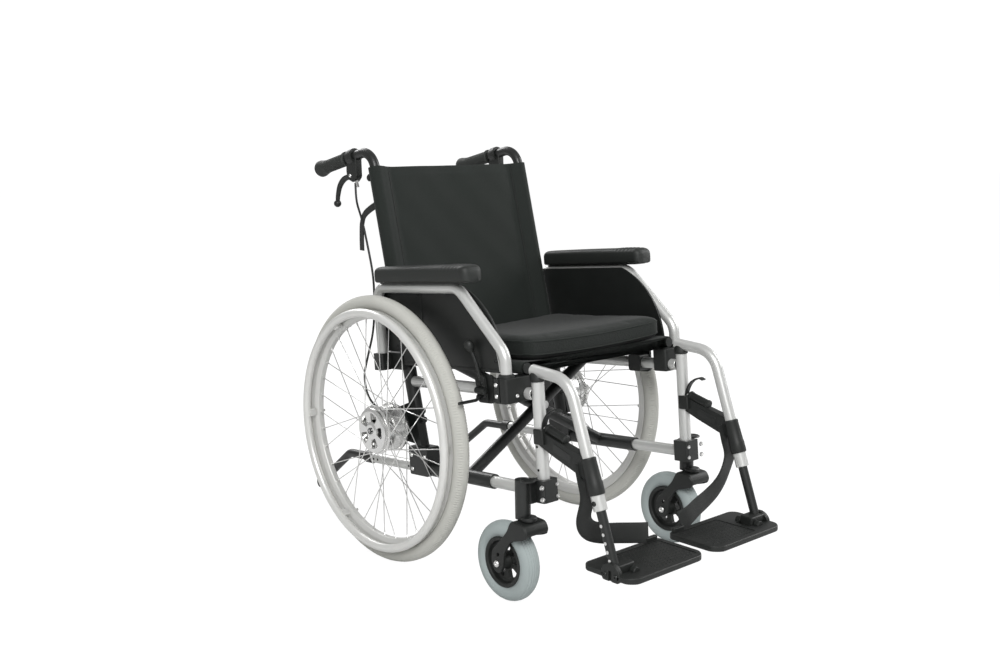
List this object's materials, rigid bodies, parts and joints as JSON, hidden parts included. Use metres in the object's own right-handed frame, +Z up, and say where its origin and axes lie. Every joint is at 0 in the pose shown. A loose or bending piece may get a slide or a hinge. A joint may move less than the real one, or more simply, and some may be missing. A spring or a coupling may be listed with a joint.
{
  "type": "manual wheelchair",
  "caption": "Folding manual wheelchair with a cross-braced frame, spoked rear wheels with handrims and drum brakes, castors, swing-away legrests, armrests and anti-tippers.",
  "frame": {"origin": "on the floor, under the middle of the chair's bounding box", "axes": "+Z up, the rider faces -Y, the rider's left is +X"},
  "size_m": [0.6738, 1.119, 0.9369],
  "materials": {
    "silver_lacquer": "silver lacquer, satin",
    "rim_silver": "silver anodised, satin",
    "black_coat": "black powder coat",
    "black_plastic": "black moulded, fine texture",
    "panel_black": "black moulded panel",
    "grip_rubber": "soft black grip",
    "cable_sheath": "black sheath",
    "grey_tyre": "light grey rubber",
    "castor_grey": "blue-grey solid rubber",
    "roller_rubber": "black rubber",
    "spoke_steel": "stainless",
    "polished_hub": "polished",
    "pad_skin": "soft foam skin",
    "black_webbing": "woven webbing",
    "black_upholstery": "close-woven nylon",
    "cushion_cover": "close-woven nylon over foam"
  },
  "bodies": {
    "right_frame": {"right_side_frame": "silver_lacquer", "right_axle_plate": "black_coat", "right_back_tube": "black_coat", "right_push_grip": "grip_rubber", "right_brake_lever_bracket": "black_plastic", "right_brake_cable": "cable_sheath", "right_castor_housing": "black_coat", "right_parking_brake": "black_plastic", "back_upholstery": "black_upholstery"},
    "right_wheel": {"right_rear_tyre": "grey_tyre", "right_rear_rim": "rim_silver", "right_spokes": "spoke_steel", "right_handrim": "rim_silver", "right_rear_hub": "polished_hub"},
    "right_fork": {"right_castor_fork": "black_plastic"},
    "right_castor": {"right_castor_tyre": "castor_grey", "right_castor_rim": "black_plastic"},
    "right_legrest": {"right_legrest_hanger": "silver_lacquer"},
    "right_footrest": {"right_footrest_post": "black_coat", "right_heel_strap": "black_webbing"},
    "right_foot_plate": {"right_footplate": "black_plastic"},
    "right_armrest": {"right_armrest_tube": "silver_lacquer", "right_armrest_pad": "pad_skin", "right_side_panel": "panel_black"},
    "right_parking": {"right_parking_lever": "black_coat"},
    "right_hand_lever": {"right_brake_lever": "black_plastic"},
    "right_tipper": {"right_anti_tipper": "black_coat"},
    "right_tipper_roller": {"right_anti_tipper_wheel": "roller_rubber"},
    "left_frame": {"left_side_frame": "silver_lacquer", "left_axle_plate": "black_coat", "left_back_tube": "black_coat", "left_push_grip": "grip_rubber", "left_brake_lever_bracket": "black_plastic", "left_brake_cable": "cable_sheath", "left_castor_housing": "black_coat", "left_parking_brake": "black_plastic"},
    "left_wheel": {"left_rear_tyre": "grey_tyre", "left_rear_rim": "rim_silver", "left_spokes": "spoke_steel", "left_handrim": "rim_silver", "left_rear_hub": "polished_hub"},
    "left_fork": {"left_castor_fork": "black_plastic"},
    "left_castor": {"left_castor_tyre": "castor_grey", "left_castor_rim": "black_plastic"},
    "left_legrest": {"left_legrest_hanger": "silver_lacquer"},
    "left_footrest": {"left_footrest_post": "black_coat", "left_heel_strap": "black_webbing"},
    "left_foot_plate": {"left_footplate": "black_plastic"},
    "left_armrest": {"left_armrest_tube": "silver_lacquer", "left_armrest_pad": "pad_skin", "left_side_panel": "panel_black"},
    "left_parking": {"left_parking_lever": "black_coat"},
    "left_hand_lever": {"left_brake_lever": "black_plastic"},
    "left_tipper": {"left_anti_tipper": "black_coat"},
    "left_tipper_roller": {"left_anti_tipper_wheel": "roller_rubber"},
    "brace_a": {"brace_a": "black_coat", "brace_bolt": "spoke_steel"},
    "brace_b": {"brace_b": "black_coat"},
    "seat": {"seat_sling": "black_upholstery"},
    "seat_cushion": {"cushion": "cushion_cover"}
  },
  "joints": [
    {"name": "fold", "type": "hinge", "parent": "right_frame", "child": "brace_a", "pos_m": [-0.222, -0.06739, 0.22304], "axis": [0, -0.9972, 0.075], "range_deg": [0, 38.7], "deforming": ["seat_sling", "cushion", "back_upholstery"]},
    {"name": "cross_pivot", "type": "hinge", "parent": "brace_a", "child": "brace_b", "pos_m": [0, -0.04306, 0.34656], "axis": [0, -0.9972, 0.075], "range_deg": [-77.6, 0]},
    {"name": "left_frame_pivot", "type": "hinge", "parent": "brace_b", "child": "left_frame", "pos_m": [0.222, -0.03748, 0.22079], "axis": [0, -0.9972, 0.075], "range_deg": [0, 38.9]},
    {"name": "seat_rise", "type": "slide", "parent": "right_frame", "child": "seat", "axis": [0, 0.075, 0.9972], "range_m": [0, 0.222]},
    {"name": "cushion_lift", "type": "slide", "parent": "seat", "child": "seat_cushion", "axis": [0, 0.075, 0.9972], "range_m": [0, 0.2]},
    {"name": "right_wheel_spin", "type": "hinge", "parent": "right_frame", "child": "right_wheel", "pos_m": [-0.2983, 0.1515, 0.305], "axis": [1, 0, 0], "continuous": true},
    {"name": "right_castor_swivel", "type": "hinge", "parent": "right_frame", "child": "right_fork", "pos_m": [-0.257, -0.2795, 0.186], "axis": [0, 0, 1], "continuous": true},
    {"name": "right_castor_spin", "type": "hinge", "parent": "right_fork", "child": "right_castor", "pos_m": [-0.257, -0.232, 0.085], "axis": [1, 0, 0], "continuous": true},
    {"name": "right_legrest_swing", "type": "hinge", "parent": "right_frame", "child": "right_legrest", "pos_m": [-0.222, -0.28985, 0.4654], "axis": [0, -0.075, -0.9972], "range_deg": [0, 90]},
    {"name": "right_footrest_height", "type": "slide", "parent": "right_legrest", "child": "right_footrest", "axis": [0, 0.3272, 0.9449], "range_m": [-0.04, 0.045]},
    {"name": "right_footplate_flip", "type": "hinge", "parent": "right_footrest", "child": "right_foot_plate", "pos_m": [-0.195, -0.50227, 0.126], "axis": [0, -1, 0], "range_deg": [0, 90], "deforming": ["right_heel_strap"]},
    {"name": "right_armrest_lift", "type": "slide", "parent": "right_frame", "child": "right_armrest", "axis": [0, 0.075, 0.9972], "range_m": [0, 0.12]},
    {"name": "right_parking_brake_lever", "type": "hinge", "parent": "right_frame", "child": "right_parking", "pos_m": [-0.25, -0.14992, 0.44586], "axis": [1, 0, 0], "range_deg": [0, 16]},
    {"name": "right_hand_brake_squeeze", "type": "hinge", "parent": "right_frame", "child": "right_hand_lever", "pos_m": [-0.222, 0.33974, 0.87251], "axis": [1, 0, 0], "range_deg": [0, 22], "stiffness_Nm_per_rad": 0.5, "springref_deg": -17.19},
    {"name": "right_tipper_turn", "type": "hinge", "parent": "right_frame", "child": "right_tipper", "pos_m": [-0.222, 0.29458, 0.19582], "axis": [0, -0.9972, 0.075], "range_deg": [0, 180]},
    {"name": "right_tipper_roller_spin", "type": "hinge", "parent": "right_tipper", "child": "right_tipper_roller", "pos_m": [-0.199, 0.5315, 0.085], "axis": [1, 0, 0], "continuous": true},
    {"name": "left_wheel_spin", "type": "hinge", "parent": "left_frame", "child": "left_wheel", "pos_m": [0.2983, 0.1515, 0.305], "axis": [1, 0, 0], "continuous": true},
    {"name": "left_castor_swivel", "type": "hinge", "parent": "left_frame", "child": "left_fork", "pos_m": [0.257, -0.2795, 0.186], "axis": [0, 0, 1], "continuous": true},
    {"name": "left_castor_spin", "type": "hinge", "parent": "left_fork", "child": "left_castor", "pos_m": [0.257, -0.232, 0.085], "axis": [1, 0, 0], "continuous": true},
    {"name": "left_legrest_swing", "type": "hinge", "parent": "left_frame", "child": "left_legrest", "pos_m": [0.222, -0.28985, 0.4654], "axis": [0, 0.075, 0.9972], "range_deg": [0, 90]},
    {"name": "left_footrest_height", "type": "slide", "parent": "left_legrest", "child": "left_footrest", "axis": [0, 0.3272, 0.9449], "range_m": [-0.04, 0.045]},
    {"name": "left_footplate_flip", "type": "hinge", "parent": "left_footrest", "child": "left_foot_plate", "pos_m": [0.195, -0.50227, 0.126], "axis": [0, 1, 0], "range_deg": [0, 90], "deforming": ["left_heel_strap"]},
    {"name": "left_armrest_lift", "type": "slide", "parent": "left_frame", "child": "left_armrest", "axis": [0, 0.075, 0.9972], "range_m": [0, 0.12]},
    {"name": "left_parking_brake_lever", "type": "hinge", "parent": "left_frame", "child": "left_parking", "pos_m": [0.25, -0.14992, 0.44586], "axis": [1, 0, 0], "range_deg": [0, 16]},
    {"name": "left_hand_brake_squeeze", "type": "hinge", "parent": "left_frame", "child": "left_hand_lever", "pos_m": [0.222, 0.33974, 0.87251], "axis": [1, 0, 0], "range_deg": [0, 22], "stiffness_Nm_per_rad": 0.5, "springref_deg": -17.19},
    {"name": "left_tipper_turn", "type": "hinge", "parent": "left_frame", "child": "left_tipper", "pos_m": [0.222, 0.29458, 0.19582], "axis": [0, 0.9972, -0.075], "range_deg": [0, 180]},
    {"name": "left_tipper_roller_spin", "type": "hinge", "parent": "left_tipper", "child": "left_tipper_roller", "pos_m": [0.199, 0.5315, 0.085], "axis": [1, 0, 0], "continuous": true}
  ],
  "couplings": [
    {"joint": "cross_pivot", "follows": "fold", "ratio": -2},
    {"joint": "left_frame_pivot", "follows": "fold", "ratio": 1},
    {"joint": "seat_rise", "follows": "fold", "m_per_rad": 0.327},
    {"joint": "right_footplate_flip", "follows": "fold", "ratio": 2.324},
    {"joint": "left_footplate_flip", "follows": "fold", "ratio": 2.324}
  ]
}
